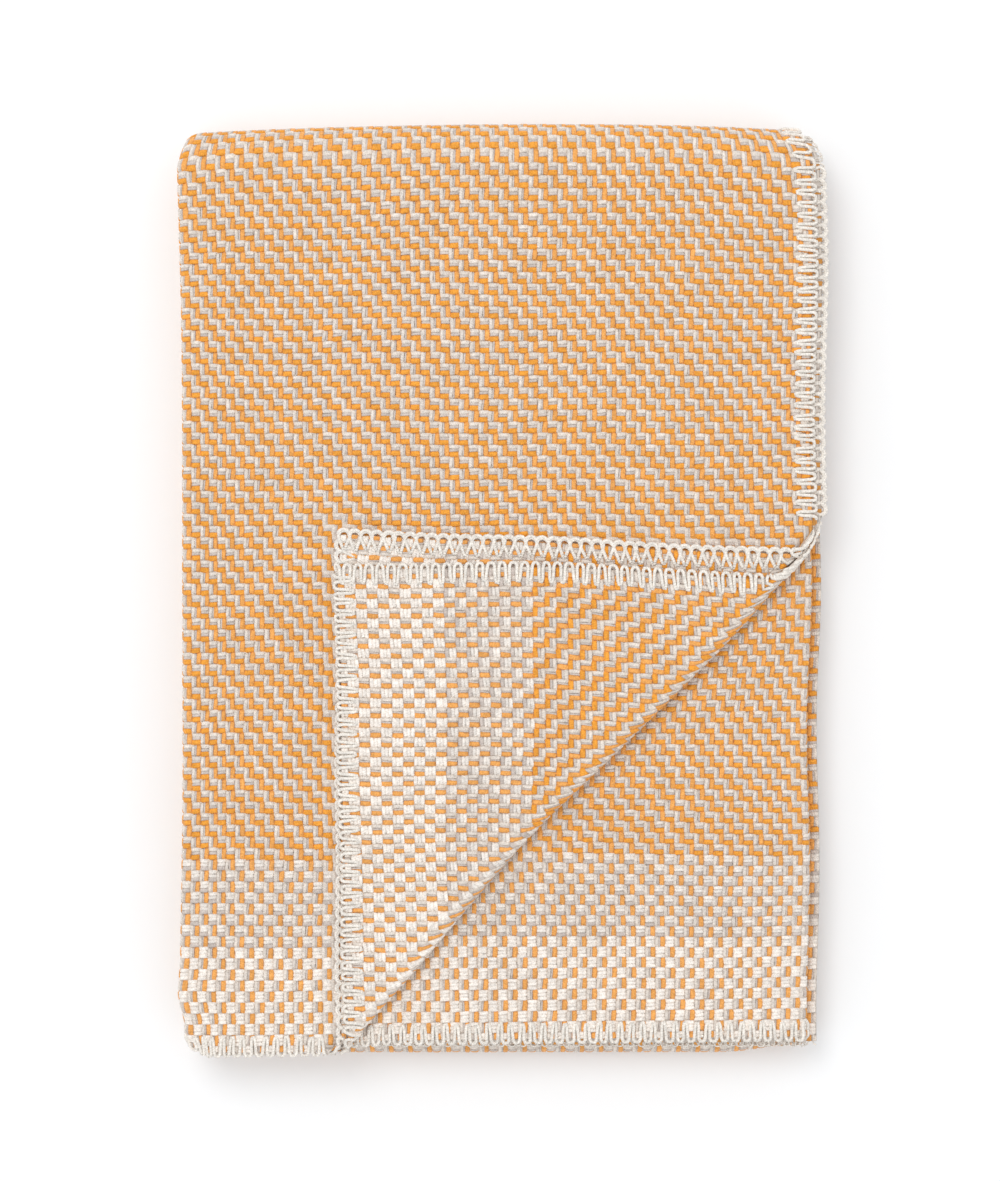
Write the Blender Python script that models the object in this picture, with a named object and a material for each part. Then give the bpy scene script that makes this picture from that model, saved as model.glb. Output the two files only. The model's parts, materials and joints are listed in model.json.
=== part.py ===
"""A woven throw blanket, folded to a sixteen-layer stack with one corner turned over.

The cloth is folded in quarters across its width, then in quarters along its length. Two
coordinates place everything: across, in the (x, level) plane of the four-layer strip that
the width folds make, and along, the route of that strip through the four packs. Metres,
+Z up, origin at the middle of the base.
"""

import math

import bmesh
import bpy
from mathutils import Vector

FOLDED_WIDTH = 0.354
FOLDED_LENGTH = 0.507
CLOTH_THICKNESS = 0.0024
LAYER_GAP = 0.0003
PACK_GAP = 0.0003
SEAM_GAP = 0.0003

EDGING_WIDTH = 0.003
EDGING_THICKNESS = 0.002
TOP_SIDE_STEP = 0.0055  # how far the top layer's stitched side lies inside the second layer's
RIGHT_FOLD_STEP = 0.0095  # how far the width fold on the right lies inside the second layer's side
UNDER_END_STEP = 0.004  # how far the lower stitched end lies inside the upper one
LENGTH_FOLD_STEP = 0.003  # how far the length fold at the foot lies inside the upper stitched end
UPPER_END_RISE = 0.0035  # how much higher the upper stitched end lies on the right than on the left

CREASE_TOP_FROM_END = 0.2915  # up the right side, from the upper stitched end
CREASE_FOOT_FROM_SIDE = 0.2685  # along the foot, from the top layer's stitched side
CREASE_TOP_TRIM = 0.0075
CREASE_FOOT_TRIM = 0.006

# The turned layers' upper-left corners lie below the crease's top end and right of its foot.
LOWER_CORNER_DROP = 0.0035
UPPER_CORNER_DROP = 0.0225
LOWER_CORNER_SHIFT = 0.0065
UPPER_CORNER_SHIFT = 0.0055
# How far in from the crease's ends, along it, the turned layers' edges meet it.
LOWER_TOP_TRIM = 0.0180
UPPER_TOP_TRIM = 0.0360
LOWER_FOOT_TRIM = 0.0103
UPPER_FOOT_TRIM = 0.0163

LENGTH_FOLD_STEPS = 10
WIDTH_FOLD_STEPS = 6
CREASE_STEPS = 6

ORANGE = (0.86, 0.40, 0.06)
CREAM = (0.88, 0.82, 0.73)
YARN_ROUGHNESS = 0.95

# Levels of the four layers in a pack, measured from its mid-plane towards the top layer.
LAYER_PITCH = CLOTH_THICKNESS + LAYER_GAP
HALF_CLOTH = CLOTH_THICKNESS / 2
TOP_LEVEL = 1.5 * LAYER_PITCH
SECOND_LEVEL = 0.5 * LAYER_PITCH
THIRD_LEVEL = -SECOND_LEVEL
FOURTH_LEVEL = -TOP_LEVEL
TIGHT_RADIUS = 0.5 * LAYER_PITCH
WIDE_RADIUS = 1.5 * LAYER_PITCH
FOLD_REACH = WIDE_RADIUS + HALF_CLOTH

# Packs are counted from the top: the upper end, the lower end, and two middle ones below.
PACK_PITCH = 4 * LAYER_PITCH + PACK_GAP
PACK_Z = [FOLD_REACH + PACK_PITCH * step for step in (3, 2, 1, 0)]
SMALL_BEND = PACK_PITCH / 2
LARGE_BEND = 3 * PACK_PITCH / 2

TOP_BEND_Y = FOLDED_LENGTH / 2 - LARGE_BEND - FOLD_REACH
UPPER_END_Y = -FOLDED_LENGTH / 2
LOWER_END_Y = UPPER_END_Y + UNDER_END_STEP
FOOT_BEND_Y = UPPER_END_Y + LENGTH_FOLD_STEP + SMALL_BEND + FOLD_REACH

LEFT_FOLD_X = -FOLDED_WIDTH / 2 + FOLD_REACH
SECOND_SIDE_X = FOLDED_WIDTH / 2
TOP_SIDE_X = SECOND_SIDE_X - TOP_SIDE_STEP
RIGHT_FOLD_X = SECOND_SIDE_X - RIGHT_FOLD_STEP - TIGHT_RADIUS - HALF_CLOTH
CLOTH_INSET = EDGING_WIDTH + SEAM_GAP

# The crease runs straight from the foot up to the right side, on top of the top layer.
CREASE_TOP = Vector((TOP_SIDE_X, UPPER_END_Y + CREASE_TOP_FROM_END))
CREASE_FOOT = Vector((TOP_SIDE_X - CREASE_FOOT_FROM_SIDE, UPPER_END_Y))
CREASE_DIRECTION = (CREASE_FOOT - CREASE_TOP).normalized()
CREASE_OUTWARD = Vector((-CREASE_DIRECTION.y, CREASE_DIRECTION.x))
CREASE_LENGTH = (CREASE_FOOT - CREASE_TOP).length
CREASE_Z = PACK_Z[0] + 2 * LAYER_PITCH


def clear_scene():
    for obj in list(bpy.data.objects):
        bpy.data.objects.remove(obj, do_unlink=True)


def yarn_material(name, colour):
    material = bpy.data.materials.new(name)
    material.use_nodes = True
    shader = material.node_tree.nodes["Principled BSDF"]
    shader.inputs["Base Color"].default_value = (*colour, 1.0)
    shader.inputs["Roughness"].default_value = YARN_ROUGHNESS
    shader.inputs["Metallic"].default_value = 0.0
    return material


def half_turn(steps, start, stop):
    """Angles from start to stop, both included."""
    return [start + (stop - start) * step / steps for step in range(steps + 1)]


def solid_from_rings(name, rings, colour, parent):
    """A closed body through rings of equally many points, with a face on each end."""
    shape = bmesh.new()
    lines = [[shape.verts.new(point) for point in ring] for ring in rings]
    for near, far in zip(lines, lines[1:]):
        for index, point in enumerate(near):
            following = (index + 1) % len(near)
            shape.faces.new((point, near[following], far[following], far[index]))
    shape.faces.new(lines[0])
    shape.faces.new(reversed(lines[-1]))
    bmesh.ops.recalc_face_normals(shape, faces=shape.faces)
    mesh = bpy.data.meshes.new(name)
    shape.to_mesh(mesh)
    shape.free()
    mesh.materials.append(yarn_material(name, colour))
    obj = bpy.data.objects.new(name, mesh)
    bpy.context.scene.collection.objects.link(obj)
    if parent is not None:
        obj.parent = parent
        obj.matrix_parent_inverse = parent.matrix_world.inverted()
    return obj


def bend(centre_y, low_z, high_z, angles, inwards):
    """Stations round one length fold: (y, z) and the direction of rising level."""
    radius = (high_z - low_z) / 2
    middle = (high_z + low_z) / 2
    sign = -1 if inwards else 1
    return [
        (
            Vector((0.0, centre_y + radius * math.cos(angle), middle + radius * math.sin(angle))),
            Vector((0.0, sign * math.cos(angle), sign * math.sin(angle))),
        )
        for angle in angles
    ]


def route(upper_end_y, lower_end_y):
    """The strip's way through the packs, from its upper end over the top and back twice."""
    up = Vector((0.0, 0.0, 1.0))
    right_angle = math.pi / 2
    over = half_turn(LENGTH_FOLD_STEPS, right_angle, -right_angle)
    foot = half_turn(LENGTH_FOLD_STEPS, -right_angle, -3 * right_angle)
    under = half_turn(LENGTH_FOLD_STEPS, -right_angle, right_angle)
    stations = [(Vector((0.0, upper_end_y, PACK_Z[0])), up)]
    stations += bend(TOP_BEND_Y, PACK_Z[3], PACK_Z[0], over, False)
    stations += bend(FOOT_BEND_Y, PACK_Z[3], PACK_Z[2], foot, False)
    stations += bend(TOP_BEND_Y, PACK_Z[2], PACK_Z[1], under, True)
    stations.append((Vector((0.0, lower_end_y, PACK_Z[1])), -up))
    return stations


def end_rise(x):
    """How much higher the upper stitched end lies at x than on the left."""
    return UPPER_END_RISE * (x / FOLDED_WIDTH + 0.5)


def along_route(name, section, stations, colour, parent):
    """Sweeps a closed (x, level) section along the stations."""
    rings = [
        [place + Vector((x, 0.0, 0.0)) + level * rising for x, level in section]
        for place, rising in stations
    ]
    return solid_from_rings(name, rings, colour, parent)


def cloth_along_route(name, section, parent):
    """A length of cloth from the upper stitched end, which isn't quite square, to the lower."""
    first, *rest = route(UPPER_END_Y + CLOTH_INSET, LOWER_END_Y + CLOTH_INSET)
    rings = [[first[0] + Vector((x, end_rise(x), 0.0)) + level * first[1] for x, level in section]]
    rings += [
        [place + Vector((x, 0.0, 0.0)) + level * rising for x, level in section]
        for place, rising in rest
    ]
    return solid_from_rings(name, rings, ORANGE, parent)


def flat_section(low_x, high_x, level):
    return [
        (low_x, level - HALF_CLOTH),
        (high_x, level - HALF_CLOTH),
        (high_x, level + HALF_CLOTH),
        (low_x, level + HALF_CLOTH),
    ]


def fold_section(centre_x, centre_level, radius, side):
    """A half ring that opens away from side, -1 for the left and 1 for the right."""
    angles = half_turn(WIDTH_FOLD_STEPS, -math.pi / 2, math.pi / 2)
    ring = []
    for reach, turn in ((radius + HALF_CLOTH, angles), (radius - HALF_CLOTH, angles[::-1])):
        for angle in turn:
            ring.append(
                (centre_x + side * reach * math.cos(angle), centre_level + reach * math.sin(angle))
            )
    return ring


def bead_section(low, level):
    """The stitched rim in section: a flattened hexagon EDGING_WIDTH wide."""
    shoulder = EDGING_WIDTH / 4
    half = EDGING_THICKNESS / 2
    return [
        (low, level),
        (low + shoulder, level - half),
        (low + EDGING_WIDTH - shoulder, level - half),
        (low + EDGING_WIDTH, level),
        (low + EDGING_WIDTH - shoulder, level + half),
        (low + shoulder, level + half),
    ]


def corner_cutter():
    """A wedge over the lower-right corner of the top two layers, beyond the crease."""
    edge = CREASE_TOP - CREASE_OUTWARD * SEAM_GAP
    reach = FOLDED_WIDTH + FOLDED_LENGTH
    outline = [
        edge - CREASE_DIRECTION * reach,
        edge - CREASE_DIRECTION * reach + CREASE_OUTWARD * reach,
        edge + CREASE_DIRECTION * reach + CREASE_OUTWARD * reach,
        edge + CREASE_DIRECTION * reach,
    ]
    rings = [
        [Vector((point.x, point.y, z)) for point in outline]
        for z in (PACK_Z[0], PACK_Z[0] + 2 * FOLD_REACH)
    ]
    cutter = solid_from_rings("corner_cutter", rings, CREAM, None)
    cutter.hide_render = True
    cutter.display_type = "WIRE"
    return cutter


def cut_corner(obj, cutter):
    modifier = obj.modifiers.new("turned_corner", "BOOLEAN")
    modifier.operation = "DIFFERENCE"
    modifier.object = cutter


def cloth_strips(parent):
    """Four lengthwise strips between the width folds; the top two give up their corner."""
    left = LEFT_FOLD_X + SEAM_GAP
    right = RIGHT_FOLD_X - SEAM_GAP
    cutter = corner_cutter()
    sections = {
        "cloth_strip_1": (flat_section(left, SECOND_SIDE_X - CLOTH_INSET, SECOND_LEVEL), True),
        "cloth_strip_2": (flat_section(left, right, THIRD_LEVEL), False),
        "cloth_strip_3": (flat_section(left, right, FOURTH_LEVEL), False),
        "cloth_strip_4": (flat_section(left, TOP_SIDE_X - CLOTH_INSET, TOP_LEVEL), True),
    }
    for name, (section, cornered) in sections.items():
        strip = cloth_along_route(name, section, parent)
        if cornered:
            cut_corner(strip, cutter)


def width_folds(parent):
    """The three rolled folds that join the strips to one another along their length."""
    middle = (THIRD_LEVEL + FOURTH_LEVEL) / 2
    sections = {
        "left_inner_fold": fold_section(LEFT_FOLD_X, 0.0, TIGHT_RADIUS, -1),
        "left_outer_fold": fold_section(LEFT_FOLD_X, 0.0, WIDE_RADIUS, -1),
        "right_fold": fold_section(RIGHT_FOLD_X, middle, TIGHT_RADIUS, 1),
    }
    for name, section in sections.items():
        cloth_along_route(name, section, parent)


def crease_side_y(side_x):
    """The height at which the crease's inner edge meets a stitched side."""
    start = CREASE_TOP - CREASE_OUTWARD * SEAM_GAP
    return start.y + CREASE_DIRECTION.y * (side_x - start.x) / CREASE_DIRECTION.x


def side_edgings(parent):
    """The stitched long sides, from the crease round to the lower end."""
    sides = {
        "side_edging_1": (SECOND_SIDE_X, SECOND_LEVEL),
        "side_edging_4": (TOP_SIDE_X, TOP_LEVEL),
    }
    for name, (side_x, level) in sides.items():
        section = bead_section(side_x - EDGING_WIDTH, level)
        start = crease_side_y(side_x) + SEAM_GAP + EDGING_WIDTH
        along_route(name, section, route(start, LOWER_END_Y), CREAM, parent)


def across_stations(second_start_x, top_stop_x):
    """(x, level) and the direction of thickness, from the second layer to the top one."""
    quarter = math.pi / 2
    stations = [((second_start_x, SECOND_LEVEL), (0.0, 1.0))]
    arcs = (
        (LEFT_FOLD_X, 0.0, TIGHT_RADIUS, quarter, 3 * quarter, 1),
        (RIGHT_FOLD_X, (THIRD_LEVEL + FOURTH_LEVEL) / 2, TIGHT_RADIUS, quarter, -quarter, -1),
        (LEFT_FOLD_X, 0.0, WIDE_RADIUS, 3 * quarter, quarter, -1),
    )
    for centre_x, centre_level, radius, start, stop, sense in arcs:
        for angle in half_turn(WIDTH_FOLD_STEPS, start, stop):
            out_x, out_level = math.cos(angle), math.sin(angle)
            place = (centre_x + radius * out_x, centre_level + radius * out_level)
            stations.append((place, (sense * out_x, sense * out_level)))
    stations.append(((top_stop_x, TOP_LEVEL), (0.0, -1.0)))
    return stations


def end_edging(name, stations, end_y, pack_z, rising, rise_of, parent):
    """The stitched end, carried round the width folds like the cloth behind it."""
    rings = []
    for (x, level), (across, up) in stations:
        ring = []
        for beside, through in bead_section(0.0, 0.0):
            point_x = x + through * across
            point_y = end_y + beside + rise_of(point_x)
            ring.append(Vector((point_x, point_y, pack_z + rising * (level + through * up))))
        rings.append(ring)
    return solid_from_rings(name, rings, CREAM, parent)


def crease_foot_x(end_y):
    """Where the crease's inner edge crosses a line along the foot."""
    start = CREASE_TOP - CREASE_OUTWARD * SEAM_GAP
    return start.x + CREASE_DIRECTION.x * (end_y - start.y) / CREASE_DIRECTION.y


def end_edgings(parent):
    foot = crease_foot_x(UPPER_END_Y) - SEAM_GAP
    cut = across_stations(foot, foot)
    end_edging("end_edging_upper", cut, UPPER_END_Y, PACK_Z[0], 1, end_rise, parent)
    whole = across_stations(SECOND_SIDE_X - CLOTH_INSET, TOP_SIDE_X - CLOTH_INSET)
    end_edging("end_edging_lower", whole, LOWER_END_Y, PACK_Z[1], -1, lambda x: 0.0, parent)


def hinge_empty():
    """The turned corner hangs from this empty, whose X runs up along the crease."""
    empty = bpy.data.objects.new("corner_hinge", None)
    bpy.context.scene.collection.objects.link(empty)
    middle = (CREASE_TOP + CREASE_FOOT) / 2
    empty.location = (middle.x, middle.y, CREASE_Z)
    empty.rotation_euler.z = math.atan2(-CREASE_DIRECTION.y, -CREASE_DIRECTION.x)
    bpy.context.view_layer.update()
    return empty


def crease_rolls(parent):
    """The two layers where they turn over: half rings round the crease."""
    low = CREASE_TOP + CREASE_DIRECTION * CREASE_TOP_TRIM
    high = CREASE_TOP + CREASE_DIRECTION * (CREASE_LENGTH - CREASE_FOOT_TRIM)
    for name, radius in (("crease_inner", TIGHT_RADIUS), ("crease_outer", WIDE_RADIUS)):
        rings = []
        for place in (low, high):
            ring = []
            for w, level in crease_section(radius):
                point = place + CREASE_OUTWARD * w
                ring.append(Vector((point.x, point.y, CREASE_Z + level)))
            rings.append(ring)
        solid_from_rings(name, rings, ORANGE, parent)


def crease_section(radius):
    angles = half_turn(CREASE_STEPS, -math.pi / 2, math.pi / 2)
    outer = [(radius + HALF_CLOTH, angle) for angle in angles]
    inner = [(radius - HALF_CLOTH, angle) for angle in reversed(angles)]
    return [(reach * math.cos(angle), reach * math.sin(angle)) for reach, angle in outer + inner]


def inset_line(start, stop, inside, distance):
    """A point and direction of the line start-stop, moved by distance towards inside."""
    direction = (stop - start).normalized()
    normal = Vector((-direction.y, direction.x))
    if normal.dot(inside - start) < 0:
        normal = -normal
    return start + normal * distance, direction


def crossing(first, second):
    """Where two lines, each a point and a direction, cross."""
    (point, along), (other, across) = first, second
    gap = other - point
    share = (gap.x * across.y - gap.y * across.x) / (along.x * across.y - along.y * across.x)
    return point + along * share


def plate(name, outline, level, thickness, colour, parent):
    """A flat piece over the outline, centred on level above the crease."""
    rings = [
        [Vector((point.x, point.y, CREASE_Z + level + side * thickness / 2)) for point in outline]
        for side in (-1, 1)
    ]
    return solid_from_rings(name, rings, colour, parent)


def turned_layer(number, level, corner, top_trim, foot_trim, parent):
    """One layer of the turned corner: its cloth, its stitched side and its stitched end."""
    crease = (CREASE_TOP - CREASE_OUTWARD * SEAM_GAP, CREASE_DIRECTION)
    start = crease[0] + CREASE_DIRECTION * top_trim
    stop = crease[0] + CREASE_DIRECTION * (CREASE_LENGTH - foot_trim)
    inside = (start + stop + corner) / 3
    side = [inset_line(start, corner, inside, d) for d in (0.0, EDGING_WIDTH, CLOTH_INSET)]
    end = [inset_line(stop, corner, inside, d) for d in (0.0, EDGING_WIDTH, CLOTH_INSET)]
    cloth = [crossing(side[2], crease), crossing(side[2], end[2]), crossing(end[2], crease)]
    plate(f"corner_cloth_{number}", cloth, level, CLOTH_THICKNESS, ORANGE, parent)
    rim = [start, corner, crossing(side[1], end[0]), crossing(side[1], crease)]
    plate(f"corner_side_edging_{number}", rim, level, EDGING_THICKNESS, CREAM, parent)
    rim = [crossing(side[2], end[0]), stop, crossing(end[1], crease), crossing(end[1], side[2])]
    plate(f"corner_end_edging_{number}", rim, level, EDGING_THICKNESS, CREAM, parent)


def turned_corner(parent):
    """The lower turned layer is the top one's corner, the upper is the second one's."""
    corner = Vector((CREASE_FOOT.x, CREASE_TOP.y))
    lower = corner + Vector((LOWER_CORNER_SHIFT, -LOWER_CORNER_DROP))
    upper = corner + Vector((UPPER_CORNER_SHIFT, -UPPER_CORNER_DROP))
    turned_layer(4, TIGHT_RADIUS, lower, LOWER_TOP_TRIM, LOWER_FOOT_TRIM, parent)
    turned_layer(1, WIDE_RADIUS, upper, UPPER_TOP_TRIM, UPPER_FOOT_TRIM, parent)


def build():
    clear_scene()
    stack = bpy.data.objects.new("folded_stack", None)
    bpy.context.scene.collection.objects.link(stack)
    cloth_strips(stack)
    width_folds(stack)
    side_edgings(stack)
    end_edgings(stack)
    crease_rolls(stack)
    turned_corner(hinge_empty())


build()
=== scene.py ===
"""A woven throw blanket, folded in quarters both ways, with one corner turned over.

Every surface is worked out from two sheet coordinates: u runs across the cloth from the
second layer's stitched side to the top layer's, and v runs along it from its upper stitched
end. Two plane paths carry them into the stack: u through the width folds, v through the
four packs. Metres, +Z up. Run as a script; each operator below builds one group of pieces,
save THROW_OT_declare, which does nothing.
"""

import json
import math
from functools import partial

import bpy
import numpy as np
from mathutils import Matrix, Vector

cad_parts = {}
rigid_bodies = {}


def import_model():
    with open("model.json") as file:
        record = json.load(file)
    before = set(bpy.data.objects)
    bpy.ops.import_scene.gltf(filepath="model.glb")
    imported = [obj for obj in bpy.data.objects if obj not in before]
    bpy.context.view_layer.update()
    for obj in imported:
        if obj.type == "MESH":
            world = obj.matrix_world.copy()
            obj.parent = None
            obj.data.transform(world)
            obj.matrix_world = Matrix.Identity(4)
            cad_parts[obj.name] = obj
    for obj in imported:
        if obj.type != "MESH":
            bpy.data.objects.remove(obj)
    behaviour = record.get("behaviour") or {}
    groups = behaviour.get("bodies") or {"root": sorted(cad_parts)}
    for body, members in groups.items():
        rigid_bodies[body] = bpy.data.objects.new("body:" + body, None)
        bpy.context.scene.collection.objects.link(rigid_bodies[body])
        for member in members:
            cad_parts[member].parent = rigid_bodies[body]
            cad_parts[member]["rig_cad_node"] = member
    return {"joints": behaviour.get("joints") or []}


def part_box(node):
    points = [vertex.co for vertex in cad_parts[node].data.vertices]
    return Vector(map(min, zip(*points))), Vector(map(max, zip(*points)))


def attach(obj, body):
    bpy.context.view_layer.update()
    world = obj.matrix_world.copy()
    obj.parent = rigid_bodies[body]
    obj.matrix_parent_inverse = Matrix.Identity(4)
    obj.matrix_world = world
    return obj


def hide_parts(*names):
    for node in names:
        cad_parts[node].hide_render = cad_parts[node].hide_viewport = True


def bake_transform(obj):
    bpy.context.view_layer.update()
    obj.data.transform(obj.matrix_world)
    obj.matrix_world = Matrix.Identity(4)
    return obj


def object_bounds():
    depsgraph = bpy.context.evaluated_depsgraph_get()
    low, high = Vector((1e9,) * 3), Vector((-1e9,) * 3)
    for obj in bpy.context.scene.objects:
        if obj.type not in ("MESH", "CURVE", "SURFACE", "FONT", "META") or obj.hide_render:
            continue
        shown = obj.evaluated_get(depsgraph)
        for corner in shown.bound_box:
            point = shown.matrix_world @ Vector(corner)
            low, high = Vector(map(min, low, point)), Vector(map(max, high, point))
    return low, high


bl_info = {
    "name": "Folded Throw Blanket",
    "version": (1, 0, 0),
    "blender": (4, 5, 0),
    "location": "View3D > Sidebar > Throw",
    "description": "Builds a folded woven throw with blanket-stitched edges and a turned corner",
    "category": "Add Mesh",
}

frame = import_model()
CAD_LOW, CAD_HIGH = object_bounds()

# ---- the fold, as the frame has it -------------------------------------------------------

LAYER_PITCH = 0.0027
PACK_PITCH = 0.0111
HALF_ENVELOPE = 0.0012
EDGE_INSET = 0.0033
TIGHT_RADIUS = LAYER_PITCH / 2
WIDE_RADIUS = 3 * LAYER_PITCH / 2
FOLD_REACH = WIDE_RADIUS + HALF_ENVELOPE
SMALL_BEND = PACK_PITCH / 2
LARGE_BEND = 3 * PACK_PITCH / 2
PACK_Z = [FOLD_REACH + PACK_PITCH * step for step in (3, 2, 1, 0)]
LENGTH_FOLD_STEP = 0.003
UPPER_END_RISE = 0.0035

LEFT_FOLD_X = CAD_LOW.x + FOLD_REACH
SECOND_SIDE_X = CAD_HIGH.x
TOP_SIDE_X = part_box("side_edging_4")[1].x
RIGHT_FOLD_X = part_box("right_fold")[1].x - TIGHT_RADIUS - HALF_ENVELOPE
TOP_BEND_Y = CAD_HIGH.y - LARGE_BEND - FOLD_REACH
UPPER_END_Y = CAD_LOW.y
LOWER_END_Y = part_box("end_edging_lower")[0].y
FOOT_BEND_Y = UPPER_END_Y + LENGTH_FOLD_STEP + SMALL_BEND + FOLD_REACH

HINGE = next(joint for joint in frame["joints"] if joint["name"] == "corner_turn")
CREASE_MIDDLE = np.array(HINGE["pos_m"], float)[:2]
CREASE_Z = float(HINGE["pos_m"][2])
CREASE_DIRECTION = -np.array(HINGE["axis"], float)[:2] / np.linalg.norm(HINGE["axis"][:2])
CREASE_OUTWARD = np.array([-CREASE_DIRECTION[1], CREASE_DIRECTION[0]])
CREASE_TOP = CREASE_MIDDLE + CREASE_DIRECTION * (
    (TOP_SIDE_X - CREASE_MIDDLE[0]) / CREASE_DIRECTION[0]
)
CREASE_FOOT = CREASE_MIDDLE + CREASE_DIRECTION * (
    (UPPER_END_Y - CREASE_MIDDLE[1]) / CREASE_DIRECTION[1]
)
CREASE_LENGTH = float(np.linalg.norm(CREASE_FOOT - CREASE_TOP))

# The turned layers: the lower one is the top layer's corner (side 4), the upper one is the
# second layer's (side 1). Each has its outer corner, how far from the crease's top and foot
# its two edges meet it, the radius of its roll and which way its face looks on the stack.
CORNERS = {
    4: ((CREASE_FOOT[0] + 0.0065, CREASE_TOP[1] - 0.0035), 0.0180, 0.0103, TIGHT_RADIUS, -1),
    1: ((CREASE_FOOT[0] + 0.0055, CREASE_TOP[1] - 0.0225), 0.0360, 0.0163, WIDE_RADIUS, 1),
}

# ---- the weave ---------------------------------------------------------------------------

HALF_CORE = 0.0007  # the cloth's body under its raised yarns
HIDDEN_RELIEF = 0.0005  # raised yarns where another layer lies close over them
WARP_GROUPS = 260
BAND_ROW = 0.00596
FIRST_ROW = -0.00266
CREAM_ROWS = 10
GREY_ROWS = 8
ORANGE_ROWS = 284

STRAND_ACROSS = np.array([-1.0, -0.48, 0.48, 1.0])  # a raised yarn's section: a low flat arch
STRAND_RISE = np.array([0.0, 0.88, 0.88, 0.0])

SEED = 7


def length(name, default, description):
    return bpy.props.FloatProperty(
        name=name, description=description, default=default, unit="LENGTH", precision=5)


def colour(name, default, description):
    return bpy.props.FloatVectorProperty(
        name=name, description=description, subtype="COLOR", size=3, default=default)


class ThrowSizes(bpy.types.PropertyGroup):
    """Sizes of the yarns and stitches."""

    relief: length("Yarn relief", 0.00095, "How far raised yarns stand above the cloth's body")
    overlap: length("Yarn overlap", 0.00075, "How far a raised yarn runs on under the next group")
    fullness: bpy.props.FloatProperty(
        name="Yarn fullness", description="Width of a yarn as a share of its place in the group",
        default=1.42, subtype="FACTOR")
    stitch_pitch: length("Stitch pitch", 0.0059, "Distance from one blanket stitch to the next")
    stitch_depth: length("Stitch depth", 0.0088, "How far a stitch reaches in from the cloth's edge")
    stitch_yarn: length("Stitching yarn", 0.0019, "Diameter of the stitching yarn")


class ThrowColours(bpy.types.PropertyGroup):
    """Colours of the yarns."""

    orange: colour("Orange yarn", (0.84, 0.355, 0.053), "Thick yarn in both directions")
    cream: colour("Cream yarn", (0.835, 0.77, 0.705), "Light yarn, and all the weft of the end bands")
    grey: colour("Grey yarn", (0.60, 0.525, 0.475), "Fine warm grey yarn")
    stitching: colour("Stitching", (0.87, 0.81, 0.735), "Yarn of the blanket stitches")


def sizes():
    return bpy.context.scene.throw_sizes


def colours():
    return bpy.context.scene.throw_colours


# ---- paths and places --------------------------------------------------------------------


def line(start, stop, normal):
    start, stop = np.array(start, float), np.array(stop, float)
    length = float(np.linalg.norm(stop - start))
    return {"length": length, "start": start, "way": (stop - start) / length, "normal": normal}


def arc(centre, radius, start, turn, sense):
    """An arc of half a turn from the angle start; its normal points outwards times sense."""
    return {
        "length": math.pi * radius, "centre": np.array(centre, float), "radius": radius,
        "from": start, "turn": turn, "sense": sense,
    }


def follow(path, distance):
    """Point and normal of a path of lines and half circles at each distance along it.

    On a line the point is the start plus the way times the distance; on an arc the angle
    grows by the distance over the radius. Before the start and past the end the first and
    last lines simply run on."""
    distance = np.asarray(distance, float)
    points = np.zeros(distance.shape + (2,))
    normals = np.zeros(distance.shape + (2,))
    begun = 0.0
    for number, piece in enumerate(path):
        low = -np.inf if number == 0 else begun
        high = np.inf if number == len(path) - 1 else begun + piece["length"]
        here = (distance >= low) & (distance < high)
        along = (distance[here] - begun)[:, None]
        if "way" in piece:
            points[here] = piece["start"] + piece["way"] * along
            normals[here] = piece["normal"]
        else:
            angle = piece["from"] + piece["turn"] * along / piece["radius"]
            outwards = np.concatenate([np.cos(angle), np.sin(angle)], 1)
            points[here] = piece["centre"] + piece["radius"] * outwards
            normals[here] = piece["sense"] * outwards
        begun += piece["length"]
    return points, normals


QUARTER = math.pi / 2
ACROSS = [
    line((SECOND_SIDE_X - EDGE_INSET, TIGHT_RADIUS), (LEFT_FOLD_X, TIGHT_RADIUS), (0, -1)),
    arc((LEFT_FOLD_X, 0), TIGHT_RADIUS, QUARTER, 1, -1),
    line((LEFT_FOLD_X, -TIGHT_RADIUS), (RIGHT_FOLD_X, -TIGHT_RADIUS), (0, 1)),
    arc((RIGHT_FOLD_X, -LAYER_PITCH), TIGHT_RADIUS, QUARTER, -1, 1),
    line((RIGHT_FOLD_X, -WIDE_RADIUS), (LEFT_FOLD_X, -WIDE_RADIUS), (0, -1)),
    arc((LEFT_FOLD_X, 0), WIDE_RADIUS, 3 * QUARTER, -1, 1),
    line((LEFT_FOLD_X, WIDE_RADIUS), (TOP_SIDE_X - EDGE_INSET, WIDE_RADIUS), (0, 1)),
]
ALONG = [
    line((UPPER_END_Y + EDGE_INSET, PACK_Z[0]), (TOP_BEND_Y, PACK_Z[0]), (0, 1)),
    arc((TOP_BEND_Y, (PACK_Z[0] + PACK_Z[3]) / 2), LARGE_BEND, QUARTER, -1, 1),
    line((TOP_BEND_Y, PACK_Z[3]), (FOOT_BEND_Y, PACK_Z[3]), (0, -1)),
    arc((FOOT_BEND_Y, (PACK_Z[2] + PACK_Z[3]) / 2), SMALL_BEND, 3 * QUARTER, -1, 1),
    line((FOOT_BEND_Y, PACK_Z[2]), (TOP_BEND_Y, PACK_Z[2]), (0, 1)),
    arc((TOP_BEND_Y, (PACK_Z[1] + PACK_Z[2]) / 2), SMALL_BEND, -QUARTER, 1, -1),
    line((TOP_BEND_Y, PACK_Z[1]), (LOWER_END_Y + EDGE_INSET, PACK_Z[1]), (0, -1)),
]


def marks(path):
    """Distances at which each piece of a path starts, and its whole length."""
    return np.concatenate([[0.0], np.cumsum([piece["length"] for piece in path])])


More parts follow.
